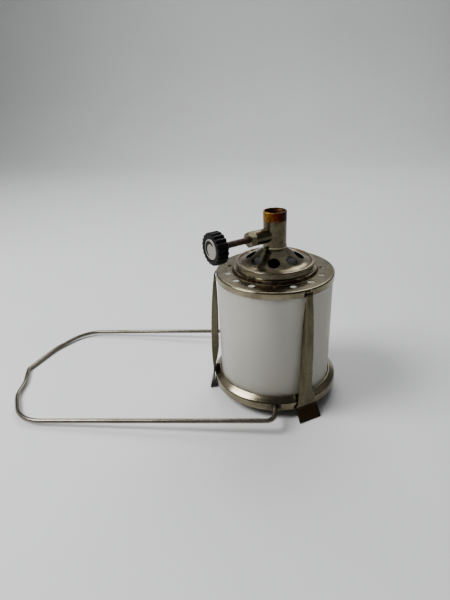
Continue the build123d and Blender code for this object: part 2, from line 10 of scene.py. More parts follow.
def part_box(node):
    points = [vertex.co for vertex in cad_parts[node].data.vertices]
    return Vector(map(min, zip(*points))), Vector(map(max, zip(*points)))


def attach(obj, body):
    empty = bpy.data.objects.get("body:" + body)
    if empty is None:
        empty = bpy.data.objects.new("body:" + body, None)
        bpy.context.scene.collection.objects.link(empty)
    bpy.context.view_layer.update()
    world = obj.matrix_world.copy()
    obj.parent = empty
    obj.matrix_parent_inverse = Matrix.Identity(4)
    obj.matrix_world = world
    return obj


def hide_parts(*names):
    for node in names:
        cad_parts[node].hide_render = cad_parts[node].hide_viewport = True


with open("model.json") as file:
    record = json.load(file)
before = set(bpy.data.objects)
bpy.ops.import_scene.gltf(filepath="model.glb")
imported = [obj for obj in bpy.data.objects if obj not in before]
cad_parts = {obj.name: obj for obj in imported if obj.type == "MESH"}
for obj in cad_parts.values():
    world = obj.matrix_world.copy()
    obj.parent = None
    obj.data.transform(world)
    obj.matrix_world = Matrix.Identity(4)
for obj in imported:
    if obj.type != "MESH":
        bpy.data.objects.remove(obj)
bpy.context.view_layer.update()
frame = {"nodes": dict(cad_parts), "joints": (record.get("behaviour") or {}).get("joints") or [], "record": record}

bl_info = {
    "name": "Gas lantern head",
    "version": (1, 0, 0),
    "blender": (4, 5, 0),
    "location": "3D View > Sidebar > Lantern",
    "description": "Adds the looks of a gas lantern head to its packed frame",
    "category": "Add Mesh",
}

MM = 0.001
NODES = frame["nodes"]
JOINTS = {joint["name"]: joint for joint in frame["joints"]}
LAMP = "lamp_head"

# --- places taken from the frame, in millimetres ---
GLASS_LOW, GLASS_HIGH = (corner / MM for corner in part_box("glass_globe"))
HOOD_LOW, HOOD_HIGH = (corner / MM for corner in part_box("hood"))
PLATE_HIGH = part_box("base_plate")[1] / MM
CONE_LOW, CONE_HIGH = (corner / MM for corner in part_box("cone_cover"))
BLOCK_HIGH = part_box("valve_block")[1] / MM
NOZZLE_LOW, NOZZLE_HIGH = (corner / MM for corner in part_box("burner_nozzle"))
MANTLE_LOW, MANTLE_HIGH = (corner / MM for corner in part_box("mantle"))
TIE_MIDDLE = sum((corner.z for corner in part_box("mantle_tie")), 0.0) / 2 / MM
INLET = next(mount for mount in frame["record"]["mounts"] if mount["name"] == "inlet")
INLET_BORE = INLET["dims"]["r_mm"]
INLET_DEPTH = INLET["dims"]["length_mm"]
KNOB_AXIS = Vector(JOINTS["knob_turn"]["axis"])
KNOB_BACK = Vector(JOINTS["knob_turn"]["pos_m"]) / MM
HOOK_Z = JOINTS["front_clip_spring"]["pos_m"][2] / MM

# --- sizes that repeat the frame's own, in millimetres ---
KNOB_WIDTH = 9.2
KNOB_POCKET = 7.8           # radius of the pocket for the white disc
KNOB_BORE = 2.48            # radius of the hole for the spindle
KNOB_HUB = 2.4              # how far the hub stands out at the back
KNOB_GRIP = 4.5             # depth of the spindle's hole
SCREW_HOLE = 1.3            # radius
DISC_RECESS = 1.2           # knob's face to the bottom of the disc's pocket
DISC_THICKNESS = 1.1
KNEE_LIFT = 2.4             # hood's rim to where a clip's foot splays out
CREASE_LIFT = 6.0           # knee to where its flanges start
CLIP_GAP = 0.1
HOOK_DEPTH = 2.2

# --- sizes of patterns, in millimetres ---
STITCH = 2.4                # mantle's stitches, drawn coarse enough to show
WAVE_FACTOR = 20            # a wave texture repeats every 2 pi / 20 at scale 1


def linear(code):
    """An sRGB hex colour such as "#8C8474" as linear RGB."""
    values = [int(code[i:i + 2], 16) / 255 for i in (1, 3, 5)]
    return [v / 12.92 if v <= 0.04045 else ((v + 0.055) / 1.055) ** 2.4 for v in values]


# --- sizes and colours that a user would change ---
def length_prop(name, description, default_mm):
    return bpy.props.FloatProperty(name=name, description=description, default=default_mm * MM, min=0.0,
                                   unit="LENGTH", precision=5)


def colour_prop(name, description, code):
    return bpy.props.FloatVectorProperty(name=name, description=description, default=linear(code), size=3,
                                         min=0.0, max=1.0, subtype="COLOR")


class LanternSizes(bpy.types.PropertyGroup):
    """Sizes of the detail that is added to the frame."""
    glass_wall: length_prop("Glass wall", "Thickness of the globe's glass", 2.5)
    clip_sheet: length_prop("Clip sheet", "Thickness of the clips' spring strip", 0.7)
    clip_width: length_prop("Clip width", "Width of a clip's flat strip at the hood", 16.0)
    web_width: length_prop("Web width", "Width of a clip between its folds, higher up", 6.2)
    tab_width: length_prop("Tab width", "Width of a clip's splayed foot", 20.0)
    hook_width: length_prop("Hook width", "Width of a clip where it hooks into the plate", 5.4)
    fold_depth: length_prop("Fold depth", "Depth of the flanges folded in along a clip", 5.6)
    thread_pitch: length_prop("Thread pitch", "Pitch of the inlet's pipe thread, 19 to the inch", 1.337)
    thread_height: length_prop("Thread height", "Height of the inlet's thread ridges", 0.8)
    flute_depth: length_prop("Flute depth", "Depth of the knob's grip flutes", 0.9)
    flutes: bpy.props.IntProperty(name="Flutes", description="Number of flutes round the knob", default=20,
                                  min=6, max=60)
    cloth: length_prop("Mantle cloth", "Thickness of the mantle's knitted cloth", 0.4)
    pleats: bpy.props.IntProperty(name="Pleats", description="Pleats of the mantle under its tie", default=14,
                                  min=4, max=40)


class LanternColours(bpy.types.PropertyGroup):
    """Base colours of the finishes."""
    nickel: colour_prop("Nickel", "Aged nickel plate", "#89816B")
    nickel_shade: colour_prop("Nickel shade", "Nickel plate where it has dulled", "#645C4A")
    strip: colour_prop("Strip", "Duller nickel plate of the clips and the valve", "#5F5947")
    strip_shade: colour_prop("Strip shade", "Darkest nickel plate of the clips and the valve", "#474133")
    wire: colour_prop("Wire", "Worn nickel plate of the bail", "#7E796E")
    stain: colour_prop("Stain", "Brown heat and rust stains", "#3E2C1C")
    patina: colour_prop("Patina", "Brown film on the clips' feet", "#40331F")
    rust: colour_prop("Rust", "Brown rust of the spindle", "#3F2612")
    rust_shade: colour_prop("Rust shade", "Darkest rust", "#1B0F08")
    straw: colour_prop("Straw tint", "Golden heat tint at the inlet", "#8E6C26")
    tint_red: colour_prop("Red tint", "Orange-red heat tint at the inlet", "#642610")
    # Besides dark spots of tint, this colour paints shade on the inlet's right side.
    dark_tint_and_shade: colour_prop("Dark tint", "Dark red heat tint at the inlet", "#2C130C")
    # Painted shade: this near-black colour darkens the base plate under the cone, where only shade falls.
    soot: colour_prop("Soot", "Soot on the base plate under the cone", "#14110E")
    knob: colour_prop("Knob", "Black phenolic of the knob", "#060606")
    insert: colour_prop("Insert", "Off-white ABS of the knob's disc", "#7F7C71")
    glass: colour_prop("Glass", "Etched glass", "#EBE8DB")
    cloth: colour_prop("Mantle", "Ashed mantle cloth", "#E4E1D8")
    floor: colour_prop("Floor", "Seamless paper under the lantern", "#D2D3D3")


def settings():
    return bpy.context.scene.lantern_sizes


def colours():
    return bpy.context.scene.lantern_colours


# --- materials ---
def node(tree, kind, links=None, out=0, **attributes):
    """Adds a shader node, sets its attributes and fills its inputs with values or with other nodes' outputs.
    Gives the output asked for."""
    made = tree.nodes.new("ShaderNode" + kind)
    for name, value in attributes.items():
        setattr(made, name, value)
    for key, value in (links or {}).items():
        socket = made.inputs[key]
        if isinstance(value, bpy.types.NodeSocket):
            tree.links.new(value, socket)
        elif socket.type == "RGBA":
            socket.default_value = (*value, 1.0)
        else:
            socket.default_value = value
    return made.outputs[out] if made.outputs else None


def new_material(name):
    """An empty material with its tree, and coordinates in millimetres."""
    material = bpy.data.materials.new(name)
    material.use_nodes = True
    tree = material.node_tree
    tree.nodes.clear()
    place = node(tree, "TexCoord", out="Object")
    return material, tree, node(tree, "VectorMath", {0: place, "Scale": 1 / MM}, operation="SCALE")


def patches(tree, where, size_mm, low, high, detail=4.0, stretch=(1, 1, 1)):
    """Mask of cloudy patches about size_mm across: 0 below the low noise value, 1 above the high one."""
    squeezed = node(tree, "VectorMath", {0: where, 1: stretch}, operation="MULTIPLY")
    noise = node(tree, "TexNoise", {"Vector": squeezed, "Scale": 1 / size_mm, "Detail": detail,
                                    "Roughness": 0.6})
    return node(tree, "MapRange", {"Value": noise, "From Min": low, "From Max": high},
                interpolation_type="SMOOTHSTEP")


def band(tree, value, low, high, soft):
    """Mask that is 1 where the value is between low and high, with soft edges."""
    rise = node(tree, "MapRange", {"Value": value, "From Min": low - soft, "From Max": low + soft})
    fall = node(tree, "MapRange", {"Value": value, "From Min": high + soft, "From Max": high - soft})
    return node(tree, "Math", {0: rise, 1: fall}, operation="MULTIPLY")


def radius_x_z(tree, where):
    """Distance from the lantern's axis, x and z."""
    parts = node(tree, "SeparateXYZ", {"Vector": where}).node.outputs
    flat = node(tree, "VectorMath", {0: where, 1: (1, 1, 0)}, operation="MULTIPLY")
    radius = node(tree, "VectorMath", {0: flat}, out="Value", operation="LENGTH")
    return radius, parts["X"], parts["Z"]


def plated_steel(name, light, shade, roughness, stained=0.0, turned=False, rings=(), feet_z=None,
                 stretch=(1, 1, 1), sooted_radius=None):
    """Nickel-plated steel, pressed or drawn, that has aged: a warm olive grey with a soft satin sheen, faint
    lines along the way it was formed, fine pits, brown film on feet, brown stain with painted shade in grooves,
    and near-black painted shade under the cone where asked."""
    tint = colours()
    material, tree, where = new_material(name)
    radius, _, z = radius_x_z(tree, where)
    cloud = patches(tree, where, 16.0, 0.35, 0.7, stretch=stretch)
    colour = node(tree, "Mix", {"Factor": cloud, 6: light, 7: shade}, out=2, data_type="RGBA")
    along = node(tree, "CombineXYZ", {"X": radius, "Y": z}) if turned else where
    lines = patches(tree, along, 0.9, 0.35, 0.75, detail=2.0, stretch=stretch)   # forming lines 0.9 mm apart
    faint = node(tree, "Math", {0: lines, 1: 0.4}, operation="MULTIPLY")
    colour = node(tree, "Mix", {"Factor": faint, 6: colour, 7: shade}, out=2, data_type="RGBA")
    blotch = patches(tree, where, 2.4, 0.72 - stained, 0.84 - stained, detail=6.0, stretch=stretch)
    mask = node(tree, "Math", {0: blotch, 1: 0.6}, operation="MULTIPLY")
    # Ring masks lay the brown stain colour in grooves: real stain, and painted shade under the overhanging edges.
    for ring_radius, width, low, high in rings:
        ragged = patches(tree, where, 4.0, 0.2, 0.6)
        across = band(tree, radius, ring_radius - width, ring_radius + width, 0.6)
        ring = node(tree, "Math", {0: across, 1: band(tree, z, low, high, 0.5)}, operation="MULTIPLY")
        ring = node(tree, "Math", {0: ring, 1: ragged}, operation="MULTIPLY")
        mask = node(tree, "Math", {0: mask, 1: ring}, operation="MAXIMUM")
    colour = node(tree, "Mix", {"Factor": mask, 6: colour, 7: tint.stain}, out=2, data_type="RGBA")
    if feet_z is not None:
        foot = node(tree, "MapRange", {"Value": z, "From Min": feet_z + 1.0, "From Max": feet_z - 1.5})
        worn = patches(tree, where, 2.6, 0.5, 0.68, detail=6.0)
        film = node(tree, "Mix", {"Factor": worn, 6: tint.patina, 7: shade}, out=2, data_type="RGBA")
        colour = node(tree, "Mix", {"Factor": foot, 6: colour, 7: film}, out=2, data_type="RGBA")
        mask = node(tree, "Math", {0: mask, 1: foot}, operation="MAXIMUM")
    # Painted shade: inside this radius the base plate, hidden under the cone, is painted near-black.
    if sooted_radius is not None:
        soot = node(tree, "MapRange", {"Value": radius, "From Min": sooted_radius + 0.8,
                                       "From Max": sooted_radius - 0.8})
        colour = node(tree, "Mix", {"Factor": soot, 6: colour, 7: tint.soot}, out=2, data_type="RGBA")
    pits = patches(tree, where, 0.6, 0.3, 0.75, detail=3.0)                      # pits of 0.6 mm
    rough = node(tree, "Math", {0: lines, 1: 0.08, 2: roughness}, operation="MULTIPLY_ADD")
    film_rough = node(tree, "Math", {0: mask, 1: 0.2}, operation="MULTIPLY")
    rough = node(tree, "Math", {0: rough, 1: film_rough}, operation="ADD", use_clamp=True)
    uneven = node(tree, "Bump", {"Height": pits, "Distance": 0.02 * MM, "Strength": 0.4})
    shader = node(tree, "BsdfPrincipled", {"Base Color": colour, "Metallic": 1.0, "Roughness": rough,
                                           "Normal": uneven})
    node(tree, "OutputMaterial", {"Surface": shader})
    return material


def heat_tinted_brass(name):
    """Nickel-plated brass, turned, worn to dull silver, with the last of the inlet tinted gold, orange
    and dark red by heat and rust, and darkened on its right side with painted shade."""
    tint = colours()
    material, tree, where = new_material(name)
    radius, x, z = radius_x_z(tree, where)
    cloud = patches(tree, where, 5.0, 0.4, 0.7)
    colour = node(tree, "Mix", {"Factor": cloud, 6: tint.strip, 7: tint.strip_shade}, out=2, data_type="RGBA")
    side = node(tree, "MapRange", {"Value": x, "From Min": -6.0, "From Max": 0.5})
    # Painted shade: the inlet's right side, turned away from the key light, is darkened to the dark tint.
    painted_shade_side = node(tree, "MapRange", {"Value": x, "From Min": 1.5, "From Max": 6.5})
    blotches = patches(tree, where, 3.0, 0.35, 0.7, detail=6.0)
    blotches = node(tree, "Math", {0: blotches, 1: 0.7}, operation="MULTIPLY")
    orange = node(tree, "Mix", {"Factor": blotches, 6: side, 7: (1.0, 1.0, 1.0)}, out=2, data_type="RGBA")
    tinted = node(tree, "Mix", {"Factor": orange, 6: tint.straw, 7: tint.tint_red}, out=2, data_type="RGBA")
    tinted = node(tree, "Mix", {"Factor": painted_shade_side, 6: tinted, 7: tint.dark_tint_and_shade}, out=2, data_type="RGBA")
    freckles = patches(tree, where, 1.6, 0.45, 0.62, detail=6.0)
    freckles = node(tree, "Math", {0: freckles, 1: 0.75}, operation="MULTIPLY")
    tinted = node(tree, "Mix", {"Factor": freckles, 6: tinted, 7: tint.dark_tint_and_shade}, out=2, data_type="RGBA")
    ragged = patches(tree, where, 3.0, 0.2, 0.8)
    edge = node(tree, "Math", {0: ragged, 1: 2.5, 2: z}, operation="MULTIPLY_ADD")
    top = node(tree, "MapRange", {"Value": edge, "From Min": BLOCK_HIGH.z - 6.6,
                                  "From Max": BLOCK_HIGH.z - 5.4})
    colour = node(tree, "Mix", {"Factor": top, 6: colour, 7: tinted}, out=2, data_type="RGBA")
    inside = node(tree, "MapRange", {"Value": radius, "From Min": INLET_BORE + 0.1,
                                     "From Max": INLET_BORE - 0.3})
    bored = band(tree, z, BLOCK_HIGH.z - 30, BLOCK_HIGH.z, 0.4)
    within = node(tree, "Math", {0: inside, 1: bored}, operation="MULTIPLY")
    within = node(tree, "Math", {0: within, 1: 0.85}, operation="MULTIPLY")
    colour = node(tree, "Mix", {"Factor": within, 6: colour, 7: tint.stain}, out=2, data_type="RGBA")
    spots = patches(tree, where, 1.1, 0.66, 0.76, detail=6.0)
    spots = node(tree, "Math", {0: spots, 1: 0.6}, operation="MULTIPLY")
    colour = node(tree, "Mix", {"Factor": spots, 6: colour, 7: tint.stain}, out=2, data_type="RGBA")
    rough = node(tree, "MapRange", {"Value": top, "To Min": 0.3, "To Max": 0.5})
    turning = patches(tree, where, 0.5, 0.3, 0.7, stretch=(0.2, 0.2, 1.5))       # tool marks 0.5 mm apart
    uneven = node(tree, "Bump", {"Height": turning, "Distance": 0.04 * MM, "Strength": 0.6})
    shader = node(tree, "BsdfPrincipled", {"Base Color": colour, "Metallic": 1.0, "Roughness": rough,
                                           "Normal": uneven})
    node(tree, "OutputMaterial", {"Surface": shader})
    return material


def rusted_steel(name):
    """Drawn steel rod under an even coat of rust: matt, grainy, dark brown."""
    tint = colours()
    material, tree, where = new_material(name)
    dark = patches(tree, where, 2.0, 0.4, 0.62, detail=6.0)
    colour = node(tree, "Mix", {"Factor": dark, 6: tint.rust, 7: tint.rust_shade}, out=2, data_type="RGBA")
    bright = patches(tree, where, 1.4, 0.66, 0.78)
    bright = node(tree, "Math", {0: bright, 1: 0.5}, operation="MULTIPLY")
    colour = node(tree, "Mix", {"Factor": bright, 6: colour, 7: tint.nickel_shade}, out=2, data_type="RGBA")
    grit = patches(tree, where, 0.4, 0.3, 0.7, detail=5.0)                       # rust grains of 0.4 mm
    uneven = node(tree, "Bump", {"Height": grit, "Distance": 0.12 * MM, "Strength": 0.8})
    shader = node(tree, "BsdfPrincipled", {"Base Color": colour, "Metallic": 0.25, "Roughness": 0.62,
                                           "Normal": uneven})
    node(tree, "OutputMaterial", {"Surface": shader})
    return material


def plain_metal(name, light, shade, roughness, patch_mm):
    """Metal part of one kind, machined or heat-dulled: its tone drifts in patches of the given size."""
    material, tree, where = new_material(name)
    drift = patches(tree, where, patch_mm, 0.4, 0.65)
    colour = node(tree, "Mix", {"Factor": drift, 6: linear(light), 7: linear(shade)}, out=2, data_type="RGBA")
    grain = patches(tree, where, 0.5, 0.3, 0.7)                                  # tool marks of 0.5 mm
    uneven = node(tree, "Bump", {"Height": grain, "Distance": 0.03 * MM, "Strength": 0.5})
    shader = node(tree, "BsdfPrincipled", {"Base Color": colour, "Metallic": 1.0, "Roughness": roughness,
                                           "Normal": uneven})
    node(tree, "OutputMaterial", {"Surface": shader})
    return material


def moulded(name, colour, dirt, roughness, dirt_share, gloss=0.5):
    """Moulded plastic, phenolic or rubber: an even colour with a soft sheen, hazed with dust and handling."""
    material, tree, where = new_material(name)
    haze = patches(tree, where, 4.0, 0.66 - dirt_share, 0.85 - dirt_share, detail=6.0)
    thin_haze = node(tree, "Math", {0: haze, 1: 0.6}, operation="MULTIPLY")
    mixed = node(tree, "Mix", {"Factor": thin_haze, 6: colour, 7: linear(dirt)}, out=2, data_type="RGBA")
    rough = node(tree, "MapRange", {"Value": haze, "To Min": roughness, "To Max": roughness + 0.2})
    skin = patches(tree, where, 0.7, 0.3, 0.7)                                   # moulded skin of 0.7 mm
    uneven = node(tree, "Bump", {"Height": skin, "Distance": 0.02 * MM, "Strength": 0.4})
    shader = node(tree, "BsdfPrincipled", {"Base Color": mixed, "Roughness": rough, "IOR": 1.5,
                                           "Specular IOR Level": gloss, "Normal": uneven})
    node(tree, "OutputMaterial", {"Surface": shader})
    return material


def etched_glass(name):
    """Soda-lime glass, blown and acid-etched: milky and even, letting soft light and blurred shapes through."""
    tint = colours()
    material, tree, where = new_material(name)
    smear = patches(tree, where, 22.0, 0.45, 0.75)
    smear = node(tree, "Math", {0: smear, 1: 0.15}, operation="MULTIPLY")
    colour = node(tree, "Mix", {"Factor": smear, 6: tint.glass, 7: linear("#D8D3C4")}, out=2, data_type="RGBA")
    specks = patches(tree, where, 1.8, 0.76, 0.79, detail=2.0)
    specks = node(tree, "Math", {0: specks, 1: 0.5}, operation="MULTIPLY")
    colour = node(tree, "Mix", {"Factor": specks, 6: colour, 7: tint.stain}, out=2, data_type="RGBA")
    frost = patches(tree, where, 0.5, 0.3, 0.7)                                  # etch drawn 0.5 mm coarse
    uneven = node(tree, "Bump", {"Height": frost, "Distance": 0.02 * MM, "Strength": 0.3})
    shader = node(tree, "BsdfPrincipled", {
        "Base Color": colour, "Roughness": 0.42, "IOR": 1.52, "Transmission Weight": 0.55,
        "Subsurface Weight": 1.0, "Subsurface Radius": (1.0, 1.0, 1.0), "Subsurface Scale": 14 * MM,
        "Normal": uneven})
    node(tree, "OutputMaterial", {"Surface": shader})
    return material


def knitted_cloth(name):
    """Rayon mantle cloth, knitted in an open mesh and burnt to ash: chalky white with a fine rib."""
    material, tree, where = new_material(name)
    scale = 2 * math.pi / WAVE_FACTOR / STITCH
    rows, wales = (node(tree, "TexWave", {"Vector": where, "Scale": scale, "Distortion": 0.4}, out="Fac",
                        bands_direction=way) for way in ("Z", "X"))
    knit = node(tree, "Math", {0: rows, 1: wales}, operation="MULTIPLY")
    colour = node(tree, "Mix", {"Factor": knit, 6: linear("#A8A294"), 7: colours().cloth}, out=2,
                  data_type="RGBA")
    ribbed = node(tree, "Bump", {"Height": knit, "Distance": 0.15 * MM, "Strength": 0.7})
    shader = node(tree, "BsdfPrincipled", {"Base Color": colour, "Roughness": 0.95, "Sheen Weight": 0.3,
                                           "IOR": 1.45, "Normal": ribbed})
    node(tree, "OutputMaterial", {"Surface": shader})
    return material


def seamless_paper(name):
    """Matt paper sweep: pale and even, with a slow drift of tone."""
    material, tree, where = new_material(name)
    tone = patches(tree, where, 260.0, 0.35, 0.7)
    tone = node(tree, "Math", {0: tone, 1: 0.25}, operation="MULTIPLY")
    colour = node(tree, "Mix", {"Factor": tone, 6: colours().floor, 7: linear("#C4C5C4")}, out=2,
                  data_type="RGBA")
    shader = node(tree, "BsdfPrincipled", {"Base Color": colour, "Roughness": 0.7})
    node(tree, "OutputMaterial", {"Surface": shader})
    return material


def cached(name, make, *values, **named):
    """The material of that name, made the first time it is asked for."""
    return bpy.data.materials.get(name) or make(name, *values, **named)


def pressing_finish():
    """Hood, cone and shield: the groove under the cone's rolled edge holds brown stain, which also paints the
    shade under that edge.
    """
    lip = CONE_HIGH.x
    rings = ((lip - 3.2, 1.2, CONE_LOW.z, CONE_LOW.z + 3.4), (lip + 2.4, 1.2, CONE_LOW.z - 6, CONE_LOW.z - 2.5))
    return cached("nickel_plated_steel_pressed_and_aged", plated_steel, colours().nickel,
                  colours().nickel_shade, 0.18, turned=True, rings=rings)


def base_finish():
    """Base plate: brown stain with painted shade round the foot of its boss, and near-black painted shade where
    the cone covers it.
    """
    lip = CONE_HIGH.x
    rings = ((lip + 2.4, 1.2, CONE_LOW.z - 6, CONE_LOW.z - 2.5),)
    return cached("nickel_plated_base_pressed_and_sooted", plated_steel, colours().nickel,
                  colours().nickel_shade, 0.18, turned=True, rings=rings, sooted_radius=lip - 3.0)


def hardware_finish():
    return cached("nickel_plated_small_hardware", plated_steel, colours().nickel, colours().nickel_shade, 0.25)


def rivet_finish():
    return cached("nickel_plated_rivets_dark_with_dirt", plated_steel, linear("#4F4433"), colours().stain, 0.35,
                  stained=0.2)


def spring_finish():
    return cached("nickel_plated_spring_strip_rolled", plated_steel, colours().strip, colours().strip_shade,
                  0.25, stained=0.1, feet_z=HOOD_LOW.z + 1.6, stretch=(1.4, 1.4, 0.3))


def wire_finish():
    return cached("nickel_plated_wire_drawn", plated_steel, colours().wire, linear("#5F594E"), 0.26,
                  stained=0.12, stretch=(0.3, 1.4, 1.4))


def block_finish():
    return cached("nickel_plated_turned_brass_with_heat_tint", heat_tinted_brass)


def rust_finish():
    return cached("drawn_steel_rusted", rusted_steel)


def brass_finish():
    return cached("brass_machined", plain_metal, "#C79F55", "#8A6A34", 0.3, 2.5)


def burner_finish():
    return cached("steel_sooted_by_heat", plain_metal, "#45413B", "#1F1B18", 0.5, 7.0)


def knob_finish():
    return cached("phenolic_moulded_black", moulded, colours().knob, "#151413", 0.5, 0.05, gloss=0.1)


def insert_finish():
    return cached("abs_moulded_off_white", moulded, colours().insert, "#8C8471", 0.38, 0.12)


def rubber_finish():
    return cached("nitrile_rubber_moulded", moulded, linear("#1A1918"), "#4A4844", 0.7, 0.1)


def glass_finish():
    return cached("soda_lime_glass_etched", etched_glass)


def cloth_finish():
    return cached("rayon_mantle_cloth_burnt_white", knitted_cloth)


# --- meshes ---
def shade_smooth(mesh, angle=35):
    mesh.shade_smooth()
    mesh.set_sharp_from_angle(angle=math.radians(angle))


def add_piece(name, mesh, material, body, replaces=()):
    """Puts a finished mesh, given in millimetres, on its body and gives it its finish."""
    mesh.transform(Matrix.Scale(MM, 4))
    mesh.materials.append(material)
    piece = bpy.data.objects.new(name, mesh)
    bpy.context.scene.collection.objects.link(piece)
    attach(piece, body)
    if replaces:
        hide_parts(*replaces)
    return piece


def dress(names, material):
    """Gives CAD nodes their finish."""
    for name in names:
        mesh = NODES[name].data
        mesh.materials.clear()
        mesh.materials.append(material)


def grid_mesh(name, rows, closed_rows=False, closed_columns=False):
    """Mesh of quads over rows of points, with an equal number in each row."""
    mesh = bpy.data.meshes.new(name)
    count = len(rows[0])
    faces = []
    for i in range(len(rows) - (not closed_rows)):
        for j in range(count - (not closed_columns)):
            k, m = (i + 1) % len(rows), (j + 1) % count
            faces.append((i * count + j, i * count + m, k * count + m, k * count + j))
    mesh.from_pydata([point for row in rows for point in row], [], faces)
    mesh.validate()
    return mesh


def spun(name, profile, segments, shape=None, closed=True):
    """Mesh turned about Z from (radius, height) points. The shape function may change the radius at an
    angle. Points on the axis are merged into one."""
    rows = []
    for radius, z in profile:
        row = []
        for k in range(segments):
            angle = 2 * math.pi * k / segments
            r = shape(angle, radius, z) if shape else radius
            row.append((r * math.cos(angle), r * math.sin(angle), z))
        rows.append(row)
    mesh = grid_mesh(name, rows, closed_rows=closed, closed_columns=True)
    shape_up(mesh)
    shade_smooth(mesh)
    return mesh


def shape_up(mesh):
    """Merges points that coincide and turns all faces outwards."""
    build = bmesh.new()
    build.from_mesh(mesh)
    bmesh.ops.remove_doubles(build, verts=build.verts, dist=1e-4)
    bmesh.ops.recalc_face_normals(build, faces=build.faces)
    build.to_mesh(mesh)
    build.free()


def arc(centre, radius, start, stop, steps):
    """Points along an arc in the (radius, height) plane, in degrees."""
    angles = [math.radians(start + (stop - start) * k / steps) for k in range(steps + 1)]
    return [(centre[0] + radius * math.cos(a), centre[1] + radius * math.sin(a)) for a in angles]


def applied(mesh, *modifiers):
    """The mesh with the given modifiers applied, each a (type, settings) pair."""
    helper = bpy.data.objects.new("helper", mesh)
    bpy.context.scene.collection.objects.link(helper)
    for kind, values in modifiers:
        modifier = helper.modifiers.new(kind.lower(), kind)
        for key, value in values.items():
            setattr(modifier, key, value)
    bpy.context.view_layer.update()
    evaluated = helper.evaluated_get(bpy.context.evaluated_depsgraph_get())
    result = bpy.data.meshes.new_from_object(evaluated)
    bpy.data.objects.remove(helper)
    return result


def on_knob_axis(mesh):
    """Turns a mesh drawn about Z, with z = 0 at the knob's back, on to the valve's spindle."""
    turn = KNOB_AXIS.to_track_quat("Z", "Y").to_matrix().to_4x4()
    mesh.transform(Matrix.Translation(KNOB_BACK) @ turn)
    return mesh


# --- pieces ---
def make_globe():
    """Glass cylinder with fire-polished ends."""
    outer = GLASS_HIGH.x
    wall = settings().glass_wall / MM
    low, high = GLASS_LOW.z, GLASS_HIGH.z
    middle = outer - wall / 2
    profile = (arc((middle, high - wall / 2), wall / 2, 0, 180, 8)
               + arc((middle, low + wall / 2), wall / 2, 180, 360, 8))
    add_piece("etched_globe", spun("etched_globe", profile, 160), glass_finish(), "globe",
              ["glass_globe"])


def clip_stations(splay):
    """Slices of a clip's strip from its foot to its hook: reach, height, outward tilt in degrees, half the
    web's width, half the whole width, and depth of the folded flanges."""
    size = settings()
    sheet = size.clip_sheet / MM
    flat, tab, hook, web = (w / 2 / MM for w in (size.clip_width, size.tab_width, size.hook_width,
                                                 size.web_width))
    fold = size.fold_depth / MM
    hood, plate = HOOD_HIGH.x, PLATE_HIGH.x
    wall = hood + CLIP_GAP + sheet / 2
    knee = HOOD_LOW.z + KNEE_LIFT
    crease = knee + CREASE_LIFT
    out, down = math.sin(math.radians(splay)), math.cos(math.radians(splay))
    run = (knee - sheet / 2 * out) / down
    foot = [(wall + s * run * out, knee - s * run * down, -splay, tab * 0.6, tab, 0.0)
            for s in (1.0, 0.93, 0.6, 0.25)]
    top = HOOK_Z - 6.0
    middle = (crease + HOOK_Z) / 2 + 8
    shoulder = (flat + tab) / 2
    return foot + [
        (wall + 0.12 * out, knee - 0.4, -splay * 0.75, tab * 0.57, tab * 0.95, 0.0),
        (wall, knee + 0.6, 0, shoulder * 0.6, shoulder * 0.96, 0.0),
        (wall, knee + 2.4, 0, flat * 0.65, flat, 0.0),
        (wall, crease - 0.6, 0, flat * 0.68, flat, 0.0),
        (wall + 0.15, crease, 0, flat * 0.7, flat, 0.1),
        (wall + 0.6, crease + 5, 0, flat * 0.58, flat * 0.9, fold * 0.4),
        (wall + 1.1, crease + 11, 0, flat * 0.46, flat * 0.72, fold * 0.75),
        (wall + 1.15, crease + 17, 0, web, web + 1.2, fold),
        (wall + 0.75, (crease + middle) / 2 + 8, 0, web, web + 1.1, fold * 0.97),
        (hood + 0.25, middle, 0, web, web + 1.0, fold * 0.93),
        (plate + 3.3, HOOK_Z - 13, 0, hook, hook + 0.6, fold / 2),
        (plate + 2.0, top, 0, hook - 0.3, hook, 1.2),
        (plate + 1.8, HOOK_Z - 2.6, 0, hook * 0.8, hook, 0.4),
        (plate + 1.3, HOOK_Z - 0.7, 35, hook * 0.8, hook, 0.0),
        (plate + 0.3, HOOK_Z, 90, hook * 0.8, hook, 0.0),
        (plate - 1.6, HOOK_Z, 90, hook * 0.8, hook, 0.0),
        (GLASS_HIGH.x - HOOK_DEPTH, HOOK_Z, 90, hook * 0.7, hook * 0.9, 0.0),
    ]


def make_clip(name, joint, lean, splay):
    """Spring strip with flanges folded in along its sides, splayed into a foot and bent in to a hook."""
    rows = []
    for reach, z, tilt, web, half, fold in clip_stations(splay):
        t = math.radians(tilt)
        fall = half - web
        right = [(0.0, web * 0.5), (0.0, web - 0.35)]
        right += [(fold * share, web + share * fall) for share in (0.06, 0.5, 0.95, 1.0)]
        section = [(inwards, -y) for inwards, y in reversed(right)] + [(0.0, 0.0)] + right
        rows.append([(reach - inwards * math.cos(t), y, z - inwards * math.sin(t)) for inwards, y in section])
    mesh = grid_mesh(name, rows)
    sheet = settings().clip_sheet / MM
    mesh = applied(mesh, ("SUBSURF", {"levels": 2, "render_levels": 2}),
                   ("SOLIDIFY", {"thickness": sheet, "offset": 0.0, "use_even_offset": True}),
                   ("BEVEL", {"width": 0.12, "segments": 2, "limit_method": "ANGLE"}))
    hinge = JOINTS[joint]
    place = Vector(hinge["pos_m"]) / MM
    angle = math.atan2(place.y, place.x)
    leaning = (Matrix.Translation((0, 0, place.z)) @ Matrix.Rotation(math.radians(lean), 4, "X")
               @ Matrix.Translation((0, 0, -place.z)))
    mesh.transform(Matrix.Rotation(angle, 4, "Z") @ leaning)
    shape_up(mesh)
    shade_smooth(mesh, 40)
    add_piece(f"{name}_folded", mesh, spring_finish(), name, [name])


